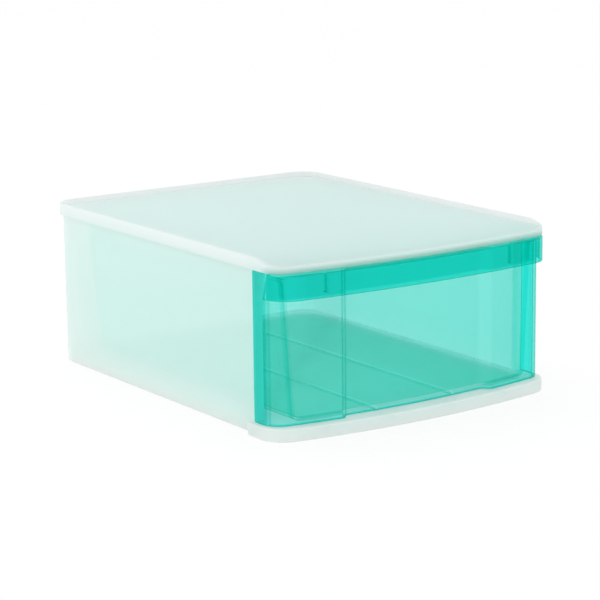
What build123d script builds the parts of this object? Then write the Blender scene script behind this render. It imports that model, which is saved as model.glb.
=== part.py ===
"""Stackable drawer box: a frosted case on a base with a front ledge, a separate
top cover that the next box stands in, and one see-through drawer with a
down-turned pull lip.

Millimetres, +Z up, +Y to the back, the drawer opens towards -Y.
The origin is the middle of the footprint, on the surface the box stands on.
"""
from build123d import *
import os

os.makedirs("parts", exist_ok=True)

# ---------------------------------------------------------------- driving sizes
OVERALL_DEPTH = 368.0
OVERALL_HEIGHT = 145.0
FIT = 0.1  # between pieces that click together and never move
SLIDE_GAP = 0.3  # under the drawer's glides
CUT_PAST = 1.0  # how far a cutting shape reaches past what it cuts

# top cover
COVER_WIDTH = 280.0
COVER_BACK_RADIUS = 21.7
COVER_FRONT_RADIUS = 19.0
COVER_BOW = 10.5
COVER_SETBACK = 4.2  # its nose stands this far behind the ledge's
COVER_EDGE = 10.5
COVER_PLATE = 2.4
COVER_RIM_HEIGHT = 4.4
COVER_SKIRT = 2.5
COVER_SKIRT_GAP = 0.3
COVER_TOP_ROUND = 1.4  # outer top edge, all round
COVER_RIM_ROUND = 0.8  # inner edge of the rim
RIM_RAMP_START = 38.0  # where the rim starts to fall, behind the ledge's nose
RIM_RAMP = 20.0  # length of the ramp the rim falls on
NEST_GAP = 0.3  # round the rim, when the next box stands on it
LOCATING_RIB = 2.0
LOCATING_RIB_HEIGHT = 3.6

# case wall
CASE_WALL = 2.4
CASE_LIFT = 1.6  # its lower edge clears the table
CASE_SETBACK = 46.5  # front edges of the side walls, behind the ledge's nose
CASE_EDGE_ROUND = 0.8
GUIDE_WIDTH = 8.4  # inward return at the front edges, which stops the drawer
GUIDE_THICKNESS = 2.4

# base
BASE_HEIGHT = 10.6
BASE_PLATE = 2.2
BASE_WALL = 2.2
LEDGE_REACH = 2.0  # past the cover at each side
LEDGE_BOW = 14.3
LEDGE_CORNER_RADIUS = 23.6
LEDGE_SETBACK = 51.0  # where the wide ledge starts, behind its own nose
LEDGE_HEEL = 1.2  # slant at the ledge's rear lower corners
LEDGE_HEEL_HEIGHT = 6.0
LEDGE_TOP_ROUND = 1.6
LEDGE_FOOT_ROUND = 0.8
BASE_RIB = 1.6
BASE_RIB_HEIGHT = 6.0
BASE_RIB_COLUMNS = 4
BASE_RIB_ROWS = 4
BASE_RIB_PITCH_X = 60.0
BASE_RIB_PITCH_Y = 75.0

# click ridges and the pockets they sit in
RIDGE_LENGTH = 30.0
RIDGE_PROUD = 0.9
RIDGE_GAP = 0.2
RIDGE_PITCH = 100.0
RIDGE_COUNT = 3
BACK_RIDGE_PITCH = 140.0
BACK_RIDGE_COUNT = 2
BASE_RIDGE_Z = 6.0
COVER_RIDGE_DROP = 2.0  # below the top of the case wall

# drawer front
FRONT_INSET = 1.7  # behind the cover at each side
FRONT_SETBACK = 7.5
FRONT_BOW = 14.0
FRONT_CORNER_RADIUS = 17.0
FRONT_WALL = 2.4
FRONT_LIFT = 0.6  # above the base
FRONT_TOP_GAP = 0.9  # under the cover's edge
FRONT_GAP = 0.5  # between its returns and the case wall
SCOOP_WIDTH = 144.0
SCOOP_SLANT = 5.0
SCOOP_DEPTH = 7.0
SCOOP_ROUND = 5.0

# pull lip
LIP_INSET = 0.6  # behind the cover at each side
LIP_SETBACK = 0.7
LIP_BOW = 10.0
LIP_CORNER_RADIUS = 24.0
LIP_WALL = 2.2
LIP_HEIGHT = 20.6
LIP_END_TOP = 25.6  # end of the lip at its upper edge, behind the nose
LIP_END_BOTTOM = 30.3
LIP_ROUND = 1.2
GUSSET_SPACING = 186.0
GUSSET_WALL = 2.2
GUSSET_HEIGHT = 15.0

# drawer tub
TUB_WALL = 2.0
TUB_SIDE_GAP = 1.7  # between its rim and the guides at the case wall's front edges
TUB_BACK_GAP = 21.1  # between its rear flare and the inside of the case wall
TUB_FLARE = 7.0  # how far each side and the back lean out from floor to rim
TUB_CORNER_RADIUS = 20.0
TUB_FLOOR_LIFT = 2.8  # floor above the base, which the glides take up
TUB_FLOOR_ROUND = 5.0
TUB_TOP_DROP = 5.4  # rim of the tub below the top of the drawer front
TUB_RIM_REACH = 1.1
TUB_RIM_THICKNESS = 2.0
GLIDE_SPACING = 78.0
GLIDE_WIDTH = 2.4
GLIDE_INSET = 12.0
PULL_TRAVEL = 230.0
STOP_REACH = 4.2
STOP_LENGTH = 6.0
STOP_HEIGHT = 10.0

# ------------------------------------------------------------- derived places
front_y = -OVERALL_DEPTH / 2
back_y = OVERALL_DEPTH / 2

recess_z = OVERALL_HEIGHT - COVER_RIM_HEIGHT
plate_under_z = recess_z - COVER_PLATE
cover_edge_z = OVERALL_HEIGHT - COVER_EDGE
ramp_start_y = front_y + RIM_RAMP_START

case_inset = COVER_SKIRT + COVER_SKIRT_GAP
case_half = COVER_WIDTH / 2 - case_inset
case_back_y = back_y - case_inset
case_radius = COVER_BACK_RADIUS - case_inset
case_front_y = front_y + CASE_SETBACK

inner_half = case_half - CASE_WALL
inner_back_y = case_back_y - CASE_WALL
inner_radius = case_radius - CASE_WALL

ledge_width = COVER_WIDTH + 2 * LEDGE_REACH
ledge_wall = LEDGE_REACH - NEST_GAP
ledge_rear_y = front_y + LEDGE_SETBACK
front_width = COVER_WIDTH - 2 * FRONT_INSET
lip_width = COVER_WIDTH - 2 * LIP_INSET
lip_end_reach = max(LIP_END_TOP, LIP_END_BOTTOM)

panel_bottom_z = BASE_HEIGHT + FRONT_LIFT
panel_top_z = cover_edge_z - FRONT_TOP_GAP
panel_rear_y = case_front_y - FRONT_GAP
lip_bottom_z = panel_top_z - LIP_HEIGHT

floor_under_z = BASE_HEIGHT + TUB_FLOOR_LIFT
tub_top_z = panel_top_z - TUB_TOP_DROP
tub_back_y = inner_back_y - TUB_BACK_GAP - TUB_FLARE
tub_rim_half = case_half - GUIDE_WIDTH - TUB_SIDE_GAP
tub_top_half = tub_rim_half - TUB_RIM_REACH
tub_floor_half = tub_top_half - TUB_FLARE
guide_rear_y = case_front_y + GUIDE_THICKNESS
stop_front_y = guide_rear_y + PULL_TRAVEL + FIT


# ------------------------------------------------------------------ outlines
def bowed_outline(width, nose_y, bow, front_radius, rear_y, rear_radius=0.0):
    """Plan of a piece with straight sides and a front that bows to nose_y."""
    half = width / 2
    corner_y = nose_y + bow
    left = Line((-half, rear_y), (-half, corner_y))
    nose = ThreePointArc((-half, corner_y), (0, nose_y), (half, corner_y))
    right = Line((half, corner_y), (half, rear_y))
    rear = Line((half, rear_y), (-half, rear_y))
    plan = make_face([left, nose, right, rear])
    plan = fillet(plan.vertices().group_by(Axis.Y)[0], front_radius)
    if rear_radius:
        plan = fillet(plan.vertices().group_by(Axis.Y)[-1], rear_radius)
    return plan


def prism(plan, low_z, high_z):
    """The plan as a solid between two heights."""
    return extrude(Pos(0, 0, low_z) * plan, high_z - low_z)


def block(x_low, x_high, y_low, y_high, z_low, z_high):
    """A box between its two corners."""
    size = (x_high - x_low, y_high - y_low, z_high - z_low)
    centre = ((x_low + x_high) / 2, (y_low + y_high) / 2, (z_low + z_high) / 2)
    return Pos(*centre) * Box(*size)


def behind(y_limit):
    """Everything at the back of y_limit."""
    far = 2 * OVERALL_DEPTH
    return block(-far, far, y_limit, far, -far, far)


def spread(count, pitch):
    """Places of a row that is centred on zero."""
    return [(i - (count - 1) / 2) * pitch for i in range(count)]


def inner_plan(inset):
    """Plan of the space inside the case wall, made smaller by inset all round."""
    return bowed_outline(
        2 * (inner_half - inset),
        front_y - OVERALL_DEPTH,
        LEDGE_BOW,
        case_radius,
        inner_back_y - inset,
        inner_radius - inset,
    )


# ------------------------------------------------------------- click ridges
def ridge_row(half, rear_y, centre_z, grow):
    """Half-round ridges on two sides and the back, or the tools for their pockets."""
    length = RIDGE_LENGTH + 2 * grow
    radius = RIDGE_PROUD + grow
    side_bar = Rot(90, 0, 0) * Cylinder(radius, length)
    back_bar = Rot(0, 90, 0) * Cylinder(radius, length)
    bars = []
    for y in spread(RIDGE_COUNT, RIDGE_PITCH):
        bars += [Pos(side * half, y, centre_z) * side_bar for side in (-1, 1)]
    for x in spread(BACK_RIDGE_COUNT, BACK_RIDGE_PITCH):
        bars.append(Pos(x, rear_y, centre_z) * back_bar)
    return bars


base_ridges = ridge_row(inner_half - FIT, inner_back_y - FIT, BASE_RIDGE_Z, 0.0)
cover_ridge_z = plate_under_z - COVER_RIDGE_DROP
cover_ridges = ridge_row(inner_half - FIT, inner_back_y - FIT, cover_ridge_z, 0.0)
ridge_pockets = [
    pocket
    for level in (BASE_RIDGE_Z, cover_ridge_z)
    for pocket in ridge_row(inner_half - FIT, inner_back_y - FIT, level, RIDGE_GAP)
]


# ------------------------------------------------------------------ top cover
def make_top_cover():
    nose_y = front_y + COVER_SETBACK
    outline = bowed_outline(
        COVER_WIDTH, nose_y, COVER_BOW, COVER_FRONT_RADIUS, back_y, COVER_BACK_RADIUS
    )
    cover = prism(outline, cover_edge_z, OVERALL_HEIGHT)
    ahead_of_rim = make_face(
        Plane.YZ
        * Polyline(
            (ramp_start_y, OVERALL_HEIGHT),
            (ramp_start_y - RIM_RAMP, recess_z),
            (2 * front_y, recess_z),
            (2 * front_y, OVERALL_HEIGHT + CUT_PAST),
            (ramp_start_y, OVERALL_HEIGHT + CUT_PAST),
            close=True,
        )
    )
    cover -= extrude(ahead_of_rim, COVER_WIDTH, both=True)
    upper_edges = cover.edges().filter_by(lambda e: e.center().Z > plate_under_z)
    across = upper_edges.filter_by(Axis.X).filter_by(lambda e: e.center().Y < 0)
    cover = fillet(upper_edges - across, COVER_TOP_ROUND)

    recess_half = case_half + COVER_SKIRT_GAP
    hollow = bowed_outline(
        2 * recess_half,
        nose_y + COVER_SKIRT,
        COVER_BOW,
        COVER_FRONT_RADIUS - COVER_SKIRT,
        back_y - COVER_SKIRT,
        COVER_BACK_RADIUS - COVER_SKIRT,
    )
    cover -= prism(hollow, recess_z, OVERALL_HEIGHT)
    inner_edges = cover.edges().group_by(Axis.Z)[-1]
    inner_edges = inner_edges.filter_by(lambda e: abs(e.center().X) < recess_half + COVER_SKIRT_GAP)
    cover = fillet(inner_edges.filter_by(lambda e: e.length > 2 * COVER_SKIRT), COVER_RIM_ROUND)
    cover -= prism(hollow, cover_edge_z, plate_under_z)

    rib_low_z = plate_under_z - LOCATING_RIB_HEIGHT
    rib = prism(inner_plan(FIT), rib_low_z, recess_z)
    rib -= prism(inner_plan(FIT + LOCATING_RIB), rib_low_z, recess_z)
    rib = rib & behind(case_front_y + GUIDE_THICKNESS + FIT)
    rib += cover_ridges
    return cover + rib


# ------------------------------------------------------------------ case wall
def make_case_wall():
    outer = bowed_outline(
        2 * case_half, front_y - OVERALL_DEPTH, LEDGE_BOW, case_radius, case_back_y, case_radius
    )
    wall = prism(outer, CASE_LIFT, plate_under_z)
    lower_edges = wall.edges().group_by(Axis.Z)[0]
    wall = fillet(lower_edges.filter_by(lambda e: e.center().Y > case_front_y), CASE_EDGE_ROUND)
    wall -= prism(inner_plan(0.0), CASE_LIFT, plate_under_z)
    wall = wall & behind(case_front_y)
    wall -= block(
        -case_half, case_half, case_front_y, ledge_rear_y + FIT, CASE_LIFT, BASE_HEIGHT + FIT
    )
    for side in (-1, 1):
        x_low, x_high = sorted((side * (case_half - GUIDE_WIDTH), side * (case_half - CASE_WALL / 2)))
        wall += block(x_low, x_high, case_front_y, guide_rear_y, BASE_HEIGHT + FIT, plate_under_z)
    return wall - ridge_pockets


# ----------------------------------------------------------------------- base
def make_base():
    ledge = bowed_outline(ledge_width, front_y, LEDGE_BOW, LEDGE_CORNER_RADIUS, ledge_rear_y)
    shelf = prism(ledge, 0, BASE_HEIGHT)
    front_arcs = shelf.edges().filter_by(GeomType.CIRCLE)
    shelf = fillet(front_arcs.group_by(Axis.Z)[-1], LEDGE_TOP_ROUND)
    front_arcs = shelf.edges().filter_by(GeomType.CIRCLE)
    shelf = fillet(front_arcs.group_by(Axis.Z)[0], LEDGE_FOOT_ROUND)
    heel = make_face(
        Plane.YZ
        * Polyline(
            (ledge_rear_y - LEDGE_HEEL, 0),
            (ledge_rear_y, LEDGE_HEEL_HEIGHT),
            (ledge_rear_y + CUT_PAST, LEDGE_HEEL_HEIGHT),
            (ledge_rear_y + CUT_PAST, 0),
            close=True,
        )
    )
    shelf -= extrude(heel, ledge_width, both=True)

    tray_plan = inner_plan(FIT)
    tray = prism(tray_plan, 0, BASE_HEIGHT) & behind(ledge_rear_y - LEDGE_HEEL - BASE_WALL)
    base = shelf + tray

    hollow_ledge = bowed_outline(
        ledge_width - 2 * ledge_wall,
        front_y + ledge_wall,
        LEDGE_BOW,
        LEDGE_CORNER_RADIUS - ledge_wall,
        ledge_rear_y - LEDGE_HEEL - BASE_WALL,
    )
    hollow_tray = inner_plan(FIT + BASE_WALL)
    under_z = BASE_HEIGHT - BASE_PLATE
    hollow = prism(hollow_ledge, 0, under_z)
    hollow += prism(hollow_tray, 0, under_z) & behind(front_y + LEDGE_SETBACK / 2)
    base -= hollow
    for side in (-1, 1):
        x_low, x_high = sorted((side * case_half, side * (COVER_WIDTH / 2 + NEST_GAP)))
        base -= block(
            x_low, x_high, ramp_start_y, ledge_rear_y + CUT_PAST, 0, COVER_RIM_HEIGHT + NEST_GAP
        )

    rib_low_z = under_z - BASE_RIB_HEIGHT
    grid = []
    for x in spread(BASE_RIB_COLUMNS, BASE_RIB_PITCH_X):
        grid.append(block(x - BASE_RIB / 2, x + BASE_RIB / 2, front_y, back_y, rib_low_z, under_z))
    for y in spread(BASE_RIB_ROWS, BASE_RIB_PITCH_Y):
        grid.append(block(-inner_half, inner_half, y - BASE_RIB / 2, y + BASE_RIB / 2, rib_low_z, under_z))
    ribs = (Part() + grid) & hollow
    base += ribs
    return base + base_ridges


# --------------------------------------------------------------------- drawer
def panel_plan(inset):
    """Plan behind the drawer front's outer face, moved in by inset, with the finger scoop."""
    nose_y = front_y + FRONT_SETBACK
    full = bowed_outline(front_width, nose_y, FRONT_BOW, FRONT_CORNER_RADIUS, back_y)
    sunk = Pos(0, SCOOP_DEPTH, 0) * full
    outer_half = SCOOP_WIDTH / 2
    notch = make_face(
        Polyline(
            (-outer_half - SCOOP_SLANT, nose_y - SCOOP_DEPTH + FRONT_BOW / 2),
            (-outer_half + SCOOP_SLANT, nose_y + SCOOP_DEPTH + FRONT_BOW / 2),
            (outer_half - SCOOP_SLANT, nose_y + SCOOP_DEPTH + FRONT_BOW / 2),
            (outer_half + SCOOP_SLANT, nose_y - SCOOP_DEPTH + FRONT_BOW / 2),
            close=True,
        )
    )
    plan = full - (notch - sunk)
    creases = plan.vertices().filter_by(
        lambda v: v.Y < nose_y + SCOOP_DEPTH + FRONT_BOW and abs(v.X) < outer_half + SCOOP_SLANT
    )
    plan = fillet(creases, SCOOP_ROUND)
    if inset:
        plan = offset(plan, -inset)
    return plan


def tub_solid(wall, low_z, floor_round):
    """The tub's flaring outside for a wall of 0, or the space inside it."""
    run = tub_top_z - floor_under_z
    spans = []
    for level in (low_z, tub_top_z + TUB_RIM_THICKNESS):
        share = (level - floor_under_z) / run
        half = tub_floor_half + share * TUB_FLARE - wall
        rear_y = tub_back_y + share * TUB_FLARE - wall
        corners = (
            (-half, front_y - OVERALL_DEPTH),
            (half, front_y - OVERALL_DEPTH),
            (half, rear_y),
            (-half, rear_y),
        )
        plan = make_face(Polyline(*corners, close=True))
        rear = plan.vertices().group_by(Axis.Y)[-1]
        spans.append(Pos(0, 0, level) * fillet(rear, TUB_CORNER_RADIUS - wall))
    solid = loft(spans, ruled=True)
    lower_edges = solid.edges().group_by(Axis.Z)[0]
    return fillet(lower_edges.filter_by(lambda e: e.center().Y > -back_y), floor_round)


def make_drawer():
    outer_face = panel_plan(0.0)
    inner_face = panel_plan(FRONT_WALL)
    mid_face = panel_plan(FRONT_WALL / 2)
    ahead = block(-front_width, front_width, 2 * front_y, panel_rear_y, 0, OVERALL_HEIGHT)

    panel = prism(outer_face, panel_bottom_z, panel_top_z) - prism(inner_face, panel_bottom_z, panel_top_z)
    panel = panel & ahead

    lip_nose_y = front_y + LIP_SETBACK
    lip_rear_y = front_y + lip_end_reach + FRONT_WALL
    lip_plan = bowed_outline(lip_width, lip_nose_y, LIP_BOW, LIP_CORNER_RADIUS, lip_rear_y)
    lip = prism(lip_plan, lip_bottom_z, panel_top_z)
    lip = fillet(lip.edges().filter_by(GeomType.CIRCLE).group_by(Axis.Z)[-1], LIP_ROUND)
    lip_inside = bowed_outline(
        lip_width - 2 * LIP_WALL,
        lip_nose_y + LIP_WALL,
        LIP_BOW,
        LIP_CORNER_RADIUS - LIP_WALL,
        lip_rear_y + LIP_WALL,
    )
    pocket = prism(lip_inside, lip_bottom_z, panel_top_z - LIP_WALL)
    for side in (-1, 1):
        x = side * GUSSET_SPACING / 2
        pocket -= block(
            x - GUSSET_WALL / 2,
            x + GUSSET_WALL / 2,
            2 * front_y,
            0,
            panel_top_z - LIP_WALL - GUSSET_HEIGHT,
            panel_top_z,
        )
    lip -= pocket
    lip -= prism(mid_face, lip_bottom_z, panel_top_z)
    lip_end = make_face(
        Plane.YZ
        * Polyline(
            (front_y + LIP_END_BOTTOM, lip_bottom_z),
            (front_y + LIP_END_TOP, panel_top_z),
            (2 * front_y, panel_top_z),
            (2 * front_y, lip_bottom_z),
            close=True,
        )
    )
    lip = lip & extrude(lip_end, lip_width, both=True)

    tub = tub_solid(0.0, floor_under_z, TUB_FLOOR_ROUND + TUB_WALL)
    rim_plan = bowed_outline(
        2 * tub_rim_half,
        front_y - OVERALL_DEPTH,
        FRONT_BOW,
        TUB_CORNER_RADIUS,
        tub_back_y + TUB_FLARE + TUB_RIM_REACH,
        TUB_CORNER_RADIUS + TUB_RIM_REACH,
    )
    tub = tub & block(-ledge_width, ledge_width, 2 * front_y, back_y, 0, tub_top_z)
    tub += prism(rim_plan, tub_top_z - TUB_RIM_THICKNESS, tub_top_z)
    for side in (-1, 1):
        x_low, x_high = sorted((side * (tub_rim_half - TUB_RIM_REACH), side * (tub_rim_half + STOP_REACH)))
        tub += block(
            x_low, x_high, stop_front_y, stop_front_y + STOP_LENGTH, tub_top_z - STOP_HEIGHT, tub_top_z
        )
    tub -= tub_solid(TUB_WALL, floor_under_z + TUB_WALL, TUB_FLOOR_ROUND)
    for side in (-1, 1):
        x = side * GLIDE_SPACING / 2
        tub += block(
            x - GLIDE_WIDTH / 2,
            x + GLIDE_WIDTH / 2,
            2 * front_y,
            tub_back_y - GLIDE_INSET,
            BASE_HEIGHT + SLIDE_GAP,
            floor_under_z + TUB_WALL / 2,
        )
    tub = tub & prism(mid_face, 0, OVERALL_HEIGHT)
    return panel + tub + lip


# --------------------------------------------------------------------- export
PIECES = {
    "top_cover": make_top_cover,
    "case_wall": make_case_wall,
    "base": make_base,
    "drawer": make_drawer,
}

if __name__ == "__main__":
    for name, make in PIECES.items():
        export_step(make(), f"parts/{name}.step")
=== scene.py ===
"""Looks for the stackable drawer box: frosted case, see-through aqua drawer, studio stage.

Metres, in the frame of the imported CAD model. Every shown solid is a CAD node.
"""

import math

import bmesh
import bpy
from mathutils import Matrix, Vector


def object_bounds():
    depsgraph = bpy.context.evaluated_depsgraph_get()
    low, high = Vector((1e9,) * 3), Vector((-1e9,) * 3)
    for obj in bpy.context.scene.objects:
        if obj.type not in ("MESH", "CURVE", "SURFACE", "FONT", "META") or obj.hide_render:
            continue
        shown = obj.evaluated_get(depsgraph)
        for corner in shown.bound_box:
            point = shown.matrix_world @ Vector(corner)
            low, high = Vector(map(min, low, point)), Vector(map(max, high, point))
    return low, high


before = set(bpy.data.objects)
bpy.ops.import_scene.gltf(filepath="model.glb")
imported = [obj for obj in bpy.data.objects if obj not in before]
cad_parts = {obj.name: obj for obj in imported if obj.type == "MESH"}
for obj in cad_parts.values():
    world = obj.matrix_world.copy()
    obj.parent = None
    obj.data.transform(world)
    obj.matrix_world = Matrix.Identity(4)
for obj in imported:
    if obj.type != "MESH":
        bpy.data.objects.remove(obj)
CAD_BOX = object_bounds()

bl_info = {
    "name": "Stackable drawer box",
    "version": (1, 0, 0),
    "blender": (4, 5, 0),
    "location": "3D View > Sidebar > Drawer box",
    "description": "Finishes and studio stage for a stackable drawer box",
    "category": "Object",
}

MM = 0.001
BOX_FRONT = CAD_BOX[0][1]
BOX_TOP = CAD_BOX[1][2]

POLYPROPYLENE_IOR = 1.49
POLYSTYRENE_IOR = 1.58
NOISE_LOW, NOISE_HIGH = 0.3, 0.7  # nearly all of a noise texture's values lie between them
NOSE_FADE = 0.5  # share of the nose's depth and reach over which its painted shade fades
TUB_SLANT_POWER = 8.0  # how late a slanting look finds the thin tub thick
FRONT_SLANT_POWER = 2.5  # the same for the drawer front
GRAZING_POWER = 5.0  # how sharply a clear face turns to a mirror at a grazing look
FLOOR_HALF = 6.0  # from the middle of the studio floor to its edge
SENSOR_WIDTH = 36.0  # in mm, as the lens is


# ------------------------------------------------------------------ settings
def hex_colour(name, description, default):
    """A colour kept as an sRGB hex value."""
    return bpy.props.StringProperty(name=name, description=description, default=default)


def share(name, description, default):
    """A part of one."""
    return bpy.props.FloatProperty(
        name=name, description=description, default=default, min=0.0, max=1.0, subtype="FACTOR"
    )


def length(name, description, default):
    """A real length, given in millimetres and kept in metres."""
    return bpy.props.FloatProperty(
        name=name, description=description, default=default * MM, unit="LENGTH", precision=5
    )


def power(name, description, default):
    """What a lamp gives off, in watts."""
    return bpy.props.FloatProperty(
        name=name, description=description, default=default, min=0.0, unit="POWER"
    )


def angle(name, description, default):
    """A turn, given in degrees and kept in radians."""
    return bpy.props.FloatProperty(
        name=name, description=description, default=math.radians(default), subtype="ANGLE"
    )


class DRAWERBOX_PG_frosted(bpy.types.PropertyGroup):
    """Natural polypropylene of the cover, the case wall and the base."""

    cover_colour: hex_colour("Cover colour", "Body colour of the top cover", "F1F7F6")
    # The nose colour is painted shade on the cover's lower front edge, greener where the drawer shows
    # through; nose depth and reach set where it lies.
    nose_shade_colour: hex_colour("Nose colour", "Colour of the cover's lower front edge", "B4D4CA")
    nose_depth: length("Nose depth", "From the cover's top down to its greener edge", 10.0)
    nose_reach: length("Nose reach", "From the front of the box back to the end of the nose", 22.0)
    wall_colour: hex_colour("Wall colour", "Body colour of the case wall", "F9FFFC")
    base_colour: hex_colour("Base colour", "Body colour of the base and its ledge", "F7FBF9")
    cover_passes: share("Cover passes", "How much the cover shows of what is under it", 0.06)
    wall_passes: share("Wall passes", "How much the case wall shows of what is behind it", 0.14)
    base_passes: share("Base passes", "How much the base shows of what is under it", 0.05)
    cover_glow: share("Cover glow", "How much light goes through the cover", 0.45)
    wall_glow: share("Wall glow", "How much light goes through the case wall", 0.5)
    base_glow: share("Base glow", "How much light goes through the base", 0.4)
    roughness: share("Roughness", "Roughness of the etched mould surface", 0.42)
    roughness_change: share("Roughness change", "How far the roughness strays in the clouds", 0.03)
    cloud: length("Clouds", "Width of one soft cloud in the sheen", 71.4)
    # The real dimples are about a tenth of a millimetre wide, too fine to show, so they are
    # drawn coarser.
    grain: length("Grain", "Width of one dimple of the mould's etching", 0.8)
    grain_depth: length("Grain depth", "Depth of one dimple of the mould's etching", 0.2)
    grain_strength: share("Grain strength", "How much of the dimples shows", 0.08)


class DRAWERBOX_PG_aqua(bpy.types.PropertyGroup):
    """Clear tinted polystyrene of the drawer."""

    film_colour: hex_colour("Tub tint", "What one face of the thin tub lets through", "F2FFFE")
    front_colour: hex_colour("Front tint", "What one face of the drawer front lets through", "D8FFFD")
    thick_colour: hex_colour(
        "Tint of thick places", "What one face lets through at the lip or the corners", "A8F8F5"
    )
    edge_colour: hex_colour("Edge tint", "What one face lets through when seen edge-on", "30D8CC")
    body_colour: hex_colour("Body colour", "Colour of the light the plastic scatters back", "2FD9C2")
    passes: share("Clearness", "How much is seen through one face of a wall", 0.99)
    roughness: share("Roughness", "Roughness of the polished mould surface", 0.12)
    lip_depth: length("Lip depth", "From the top of the box down to the lip's lower edge", 32.6)
    foot_height: length("Foot edge", "From the floor up to the thick lower edge of the front", 12.6)
    panel_depth: length("Panel depth", "From the front of the box back to the panel's inside", 17.3)
    front_curve: bpy.props.FloatProperty(
        name="Front curve", description="How fast the front bows back to its sides", default=0.73
    )
    front_depth: length("Front depth", "From the front of the box back to the front's returns", 48.0)
    corner_half: length("Corner place", "From the middle out to the returns at the ends of the front", 135.5)
    wave: length("Flow marks", "Width of one wave in the polished surface", 30.0)
    wave_depth: length("Flow mark depth", "Depth of one wave in the polished surface", 1.0)
    wave_strength: share("Flow mark strength", "How much of the waves shows", 0.05)


class DRAWERBOX_PG_stage(bpy.types.PropertyGroup):
    """Floor, lamps, surroundings and camera."""

    camera_place: bpy.props.FloatVectorProperty(
        name="Camera place",
        description="Where the camera stands",
        default=(-1.06525, -1.54630, 0.47981),
        subtype="TRANSLATION",
        unit="LENGTH",
    )
    camera_azimuth: angle("Azimuth", "Turn of the camera's view from straight ahead", -34.615)
    camera_elevation: angle("Elevation", "How far the camera looks down", 12.394)
    camera_roll: angle("Roll", "Turn of the picture about the view", -0.701)
    camera_lens: bpy.props.FloatProperty(
        name="Lens", description="Focal length on a 36 mm sensor", default=132.54, unit="CAMERA"
    )
    floor_colour: hex_colour("Floor colour", "Colour of the floor", "F4F4F4")
    floor_roughness: share("Floor roughness", "Roughness of the floor's matt paint", 0.9)
    floor_white: share("Floor glow", "How far the floor shows as plain white", 0.86)
    surround: bpy.props.FloatProperty(
        name="Surroundings",
        description="Strength of the white surroundings as a light",
        default=1.06,
        min=0.0,
    )
    see_through_faces: bpy.props.IntProperty(
        name="See-through faces",
        description="How many clear faces a look may pass, one behind another",
        default=48,
    )
    top_lamp: power("Top lamp", "Power of the soft box overhead", 3.0)
    side_lamp: power("Side lamp", "Power of the narrow soft box behind the left side", 2.0)


# ----------------------------------------------------------------- materials
def linear(code):
    """Linear RGBA from an sRGB hex value."""
    parts = [int(code[i : i + 2], 16) / 255 for i in (0, 2, 4)]
    return (*[c / 12.92 if c <= 0.04045 else ((c + 0.055) / 1.055) ** 2.4 for c in parts], 1.0)


def add_node(tree, kind, inputs=(), **settings):
    """A node with its settings, and with a value or a link on each of its given inputs.

    The inputs are a dictionary by name, or a list in the node's own order. A node among
    them stands for its first output that is in use.
    """
    node = tree.nodes.new(kind)
    for name, value in settings.items():
        setattr(node, name, value)
    if isinstance(inputs, dict):
        filled = [(node.inputs[name], value) for name, value in inputs.items()]
    else:
        filled = zip([socket for socket in node.inputs if socket.enabled], inputs)
    for socket, value in filled:
        if isinstance(value, bpy.types.Node):
            value = next(output for output in value.outputs if output.enabled)
        if isinstance(value, bpy.types.NodeSocket):
            tree.links.new(value, socket)
        else:
            socket.default_value = value
    return node


def new_material(name):
    """A material whose tree is empty."""
    material = bpy.data.materials.new(name)
    material.use_nodes = True
    material.node_tree.nodes.clear()
    return material, material.node_tree


def show_mixed(tree, amount, first, second):
    """Makes the surface of a material a mix of two shaders, with this amount of the second."""
    mix = add_node(tree, "ShaderNodeMixShader", [amount, first, second])
    add_node(tree, "ShaderNodeOutputMaterial", {"Surface": mix})


def cover_nose_shade(tree, place, settings):
    """1 at the cover's lower front edge, where shade is painted in, greener where the drawer shows through,
    and 0 elsewhere.
    """
    spot = add_node(tree, "ShaderNodeSeparateXYZ", {"Vector": place})
    lower = add_node(
        tree,
        "ShaderNodeMapRange",
        {
            "Value": spot.outputs["Z"],
            "From Min": BOX_TOP - settings.nose_depth,
            "From Max": BOX_TOP - settings.nose_depth * (1 - NOSE_FADE),
            "To Min": 1.0,
            "To Max": 0.0,
        },
    )
    ahead = add_node(
        tree,
        "ShaderNodeMapRange",
        {
            "Value": spot.outputs["Y"],
            "From Min": BOX_FRONT + settings.nose_reach,
            "From Max": BOX_FRONT + settings.nose_reach * (1 + NOSE_FADE),
            "To Min": 1.0,
            "To Max": 0.0,
        },
    )
    return add_node(tree, "ShaderNodeMath", [lower, ahead], operation="MULTIPLY")


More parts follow.
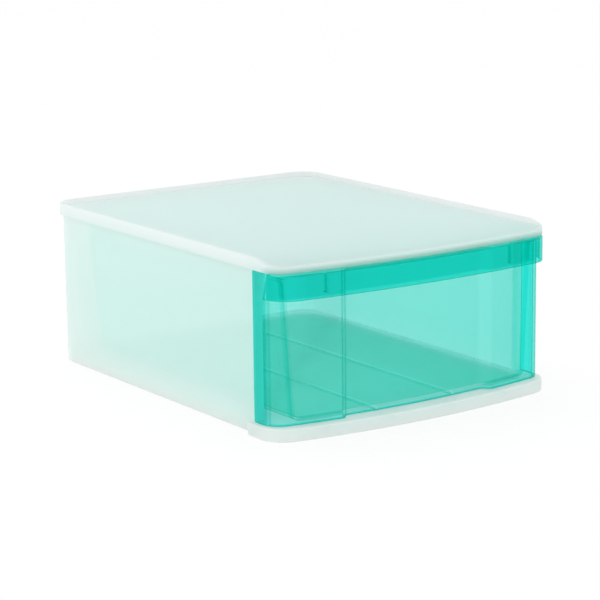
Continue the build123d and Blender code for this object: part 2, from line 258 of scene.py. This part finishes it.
def frosted_polypropylene(name, settings, colour, passes, glow, nose_shade_colour=None):
    """Natural polypropylene from an etched mould: milky, with a soft sheen.

    Light glows through it. A wall scatters light once, where it goes in. A nose colour
    paints shade, greener where the drawer shows through, on the cover's lower front edge.
    """
    material, tree = new_material(name)
    place = add_node(tree, "ShaderNodeTexCoord").outputs["Object"]
    paint = linear(colour)
    # The nose colour is painted shade, greener where the drawer shows through, on the cover's lower front
    # edge.
    if nose_shade_colour:
        layers = [cover_nose_shade(tree, place, settings), paint, linear(nose_shade_colour)]
        paint = add_node(tree, "ShaderNodeMix", layers, data_type="RGBA")
    etching = add_node(tree, "ShaderNodeTexNoise", {"Vector": place, "Scale": 1 / settings.grain})
    dimples = add_node(
        tree,
        "ShaderNodeBump",
        {"Strength": settings.grain_strength, "Distance": settings.grain_depth, "Height": etching},
    )
    cloud = add_node(tree, "ShaderNodeTexNoise", {"Vector": place, "Scale": 1 / settings.cloud})
    sheen = add_node(
        tree,
        "ShaderNodeMapRange",
        {
            "Value": cloud,
            "From Min": NOISE_LOW,
            "From Max": NOISE_HIGH,
            "To Min": settings.roughness - settings.roughness_change,
            "To Max": settings.roughness + settings.roughness_change,
        },
    )
    skin = add_node(
        tree,
        "ShaderNodeBsdfPrincipled",
        {"Base Color": paint, "Roughness": sheen, "IOR": POLYPROPYLENE_IOR, "Normal": dimples},
    )
    glowing = add_node(tree, "ShaderNodeBsdfTranslucent", {"Color": paint})
    milk = add_node(tree, "ShaderNodeMixShader", [glow, skin, glowing])
    going_out = add_node(tree, "ShaderNodeNewGeometry").outputs["Backfacing"]
    clear = add_node(tree, "ShaderNodeMath", [going_out, passes], operation="MAXIMUM")
    show_mixed(tree, clear, milk, add_node(tree, "ShaderNodeBsdfTransparent"))
    return material


def drawer_zones(tree, place, settings):
    """Where the drawer is its thick front, and where that is lip, foot or return: 0 or 1 each."""
    spot = add_node(tree, "ShaderNodeSeparateXYZ", {"Vector": place})
    x, y, z = (spot.outputs[axis] for axis in "XYZ")
    panel_back = BOX_FRONT + settings.panel_depth
    returns_back = BOX_FRONT + settings.front_depth
    lip_edge = BOX_TOP - settings.lip_depth

    squared = add_node(tree, "ShaderNodeMath", [x, x], operation="MULTIPLY")
    bow = add_node(tree, "ShaderNodeMath", [squared, settings.front_curve], operation="MULTIPLY")
    unbowed = add_node(tree, "ShaderNodeMath", [y, bow], operation="SUBTRACT")
    panel = add_node(tree, "ShaderNodeMath", [unbowed, panel_back], operation="LESS_THAN")

    sideways = add_node(tree, "ShaderNodeMath", [x], operation="ABSOLUTE")
    beside = add_node(tree, "ShaderNodeMath", [sideways, settings.corner_half], operation="GREATER_THAN")
    ahead = add_node(tree, "ShaderNodeMath", [y, returns_back], operation="LESS_THAN")
    returns = add_node(tree, "ShaderNodeMath", [beside, ahead], operation="MULTIPLY")
    front = add_node(tree, "ShaderNodeMath", [panel, returns], operation="MAXIMUM")

    lip = add_node(tree, "ShaderNodeMath", [z, lip_edge], operation="GREATER_THAN")
    foot = add_node(tree, "ShaderNodeMath", [z, settings.foot_height], operation="LESS_THAN")
    lip_or_foot = add_node(tree, "ShaderNodeMath", [lip, foot], operation="MAXIMUM")
    thick = add_node(tree, "ShaderNodeMath", [lip_or_foot, beside], operation="MAXIMUM")
    return front, thick


def clear_aqua_styrene(name, settings):
    """Clear tinted polystyrene from a polished mould: glossy and see-through.

    Each wall behind another deepens the colour, as do the thick front, its lip and a slant.
    """
    material, tree = new_material(name)
    place = add_node(tree, "ShaderNodeTexCoord").outputs["Object"]
    flow = add_node(
        tree, "ShaderNodeTexNoise", {"Vector": place, "Scale": 1 / settings.wave, "Detail": 1.0}
    )
    waves = add_node(
        tree,
        "ShaderNodeBump",
        {"Strength": settings.wave_strength, "Distance": settings.wave_depth, "Height": flow},
    )
    body = add_node(
        tree,
        "ShaderNodeBsdfPrincipled",
        {
            "Base Color": linear(settings.body_colour),
            "Roughness": settings.roughness,
            "IOR": POLYSTYRENE_IOR,
            "Normal": waves,
        },
    )

    front, thick = drawer_zones(tree, place, settings)
    front_layers = [thick, linear(settings.front_colour), linear(settings.thick_colour)]
    front_tint = add_node(tree, "ShaderNodeMix", front_layers, data_type="RGBA")
    flat_layers = [front, linear(settings.film_colour), front_tint]
    flat_tint = add_node(tree, "ShaderNodeMix", flat_layers, data_type="RGBA")

    slant = add_node(tree, "ShaderNodeLayerWeight", {"Blend": 0.5}).outputs["Facing"]
    lateness = add_node(
        tree,
        "ShaderNodeMapRange",
        {"Value": front, "To Min": TUB_SLANT_POWER, "To Max": FRONT_SLANT_POWER},
    )
    slanting = add_node(tree, "ShaderNodeMath", [slant, lateness], operation="POWER")
    tint_layers = [slanting, flat_tint, linear(settings.edge_colour)]
    tint = add_node(tree, "ShaderNodeMix", tint_layers, data_type="RGBA")
    film = add_node(tree, "ShaderNodeBsdfTransparent", {"Color": tint})

    grazing = add_node(tree, "ShaderNodeMath", [slant, GRAZING_POWER], operation="POWER")
    clear = add_node(
        tree, "ShaderNodeMapRange", {"Value": grazing, "To Min": settings.passes, "To Max": 0.0}
    )
    show_mixed(tree, clear, body, film)
    return material


def sight_ray(tree):
    """1 for what the camera sees, straight, mirrored or through glass."""
    path = add_node(tree, "ShaderNodeLightPath")
    straight, mirrored, through = (
        path.outputs[f"Is {ray} Ray"] for ray in ("Camera", "Glossy", "Transmission")
    )
    straight_or_mirrored = add_node(tree, "ShaderNodeMath", [straight, mirrored], operation="MAXIMUM")
    return add_node(tree, "ShaderNodeMath", [straight_or_mirrored, through], operation="MAXIMUM")


def matt_studio_paint(name, settings):
    """Painted studio floor: matt and pale.

    Most of what the camera sees of it is plain white, and the rest keeps the soft shadow
    of the box.
    """
    material, tree = new_material(name)
    paint = add_node(
        tree,
        "ShaderNodeBsdfPrincipled",
        {"Base Color": linear(settings.floor_colour), "Roughness": settings.floor_roughness},
    )
    white = add_node(tree, "ShaderNodeEmission", {"Color": linear("FFFFFF"), "Strength": 1.0})
    seen = add_node(
        tree, "ShaderNodeMath", [sight_ray(tree), settings.floor_white], operation="MULTIPLY"
    )
    show_mixed(tree, seen, paint, white)
    return material


def finish_node(node, material):
    """Gives a CAD node its material."""
    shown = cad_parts[node]
    shown.data.materials.clear()
    shown.data.materials.append(material)


# ----------------------------------------------------------------- operators
class DRAWERBOX_OT_top_cover(bpy.types.Operator):
    """Finish the top cover as frosted polypropylene"""

    bl_idname = "drawerbox.top_cover"
    bl_label = "Top cover"

    def execute(self, context):
        settings = context.scene.drawerbox_frosted
        material = frosted_polypropylene(
            "frosted_polypropylene_cover",
            settings,
            settings.cover_colour,
            settings.cover_passes,
            settings.cover_glow,
            # The nose colour paints shade on the cover's lower front edge.
            nose_shade_colour=settings.nose_shade_colour,
        )
        finish_node("top_cover", material)
        return {"FINISHED"}


class DRAWERBOX_OT_case_wall(bpy.types.Operator):
    """Finish the case wall as thin frosted polypropylene"""

    bl_idname = "drawerbox.case_wall"
    bl_label = "Case wall"

    def execute(self, context):
        settings = context.scene.drawerbox_frosted
        material = frosted_polypropylene(
            "frosted_polypropylene_wall",
            settings,
            settings.wall_colour,
            settings.wall_passes,
            settings.wall_glow,
        )
        finish_node("case_wall", material)
        return {"FINISHED"}


class DRAWERBOX_OT_base(bpy.types.Operator):
    """Finish the base and its ledge as frosted polypropylene"""

    bl_idname = "drawerbox.base"
    bl_label = "Base"

    def execute(self, context):
        settings = context.scene.drawerbox_frosted
        material = frosted_polypropylene(
            "frosted_polypropylene_base",
            settings,
            settings.base_colour,
            settings.base_passes,
            settings.base_glow,
        )
        finish_node("base", material)
        return {"FINISHED"}


class DRAWERBOX_OT_drawer(bpy.types.Operator):
    """Finish the drawer as clear tinted polystyrene"""

    bl_idname = "drawerbox.drawer"
    bl_label = "Drawer"

    def execute(self, context):
        material = clear_aqua_styrene("clear_aqua_styrene", context.scene.drawerbox_aqua)
        finish_node("drawer", material)
        return {"FINISHED"}


def soft_box(name, place, target, width, height, watts):
    """A rectangular studio lamp that stands at a place and shines at a target."""
    lamp = bpy.data.lights.new(name, "AREA")
    lamp.shape = "RECTANGLE"
    lamp.size = width
    lamp.size_y = height
    lamp.energy = watts
    holder = bpy.data.objects.new(name, lamp)
    turn = (Vector(target) - Vector(place)).to_track_quat("-Z", "Y").to_matrix().to_4x4()
    holder.matrix_world = Matrix.Translation(place) @ turn
    bpy.context.collection.objects.link(holder)


class DRAWERBOX_OT_stage(bpy.types.Operator):
    """Make the floor, the white surroundings, the lamps and the camera"""

    bl_idname = "drawerbox.stage"
    bl_label = "Stage"

    def execute(self, context):
        settings = context.scene.drawerbox_stage
        self.make_floor(context, settings)
        self.make_surroundings(context, settings)
        self.make_lamps(settings)
        self.make_camera(context, settings)
        # Each clear face that a look passes is one bounce.
        context.scene.cycles.transparent_max_bounces = settings.see_through_faces
        return {"FINISHED"}

    def make_floor(self, context, settings):
        mesh = bpy.data.meshes.new("studio_floor")
        shape = bmesh.new()
        bmesh.ops.create_grid(shape, x_segments=1, y_segments=1, size=FLOOR_HALF)
        shape.to_mesh(mesh)
        shape.free()
        mesh.materials.append(matt_studio_paint("matt_studio_paint", settings))
        floor = bpy.data.objects.new("studio_floor", mesh)
        context.collection.objects.link(floor)

    def make_surroundings(self, context, settings):
        world = bpy.data.worlds.new("white_surroundings")
        world.use_nodes = True
        tree = world.node_tree
        tree.nodes.clear()
        strength = add_node(
            tree,
            "ShaderNodeMapRange",
            {"Value": sight_ray(tree), "To Min": settings.surround, "To Max": 1.0},
        )
        light = add_node(
            tree, "ShaderNodeBackground", {"Color": linear("FFFFFF"), "Strength": strength}
        )
        add_node(tree, "ShaderNodeOutputWorld", {"Surface": light})
        context.scene.world = world

    def make_lamps(self, settings):
        soft_box(
            "soft_box_top",
            place=(-0.3, 0.3, 1.6),
            target=(0, 0, 0.1),
            width=1.6,
            height=1.6,
            watts=settings.top_lamp,
        )
        soft_box(
            "soft_box_side",
            place=(-1.35, 0.5, 0.35),
            target=(0, -0.1, 0.07),
            width=0.3,
            height=1.0,
            watts=settings.side_lamp,
        )

    def make_camera(self, context, settings):
        lens = bpy.data.cameras.new("camera")
        lens.lens = settings.camera_lens
        lens.sensor_width = SENSOR_WIDTH
        lens.clip_start = 0.01
        lens.clip_end = 50.0
        camera = bpy.data.objects.new("camera", lens)
        turn = (
            Matrix.Rotation(settings.camera_azimuth, 4, "Z")
            @ Matrix.Rotation(math.pi / 2 - settings.camera_elevation, 4, "X")
            @ Matrix.Rotation(settings.camera_roll, 4, "Z")
        )
        camera.matrix_world = Matrix.Translation(settings.camera_place) @ turn
        context.collection.objects.link(camera)
        context.scene.camera = camera


class DRAWERBOX_PT_sidebar(bpy.types.Panel):
    """Settings and steps of the drawer box"""

    bl_idname = "DRAWERBOX_PT_sidebar"
    bl_label = "Drawer box"
    bl_space_type = "VIEW_3D"
    bl_region_type = "UI"
    bl_category = "Drawer box"

    def draw(self, context):
        for name, group in SETTINGS.items():
            box = self.layout.box()
            for setting in group.__annotations__:
                box.prop(getattr(context.scene, name), setting)
        for step in STEPS:
            self.layout.operator(step.bl_idname)


STEPS = (
    DRAWERBOX_OT_top_cover,
    DRAWERBOX_OT_case_wall,
    DRAWERBOX_OT_base,
    DRAWERBOX_OT_drawer,
    DRAWERBOX_OT_stage,
)
SETTINGS = {
    "drawerbox_frosted": DRAWERBOX_PG_frosted,
    "drawerbox_aqua": DRAWERBOX_PG_aqua,
    "drawerbox_stage": DRAWERBOX_PG_stage,
}


def register():
    for group in (*SETTINGS.values(), *STEPS, DRAWERBOX_PT_sidebar):
        bpy.utils.register_class(group)
    for name, group in SETTINGS.items():
        setattr(bpy.types.Scene, name, bpy.props.PointerProperty(type=group))


def unregister():
    for name in SETTINGS:
        delattr(bpy.types.Scene, name)
    for group in reversed((*SETTINGS.values(), *STEPS, DRAWERBOX_PT_sidebar)):
        bpy.utils.unregister_class(group)


def main():
    register()
    bpy.context.scene.view_settings.view_transform = "Standard"
    bpy.ops.drawerbox.top_cover()
    bpy.ops.drawerbox.case_wall()
    bpy.ops.drawerbox.base()
    bpy.ops.drawerbox.drawer()
    bpy.ops.drawerbox.stage()


if __name__ == "__main__":
    main()
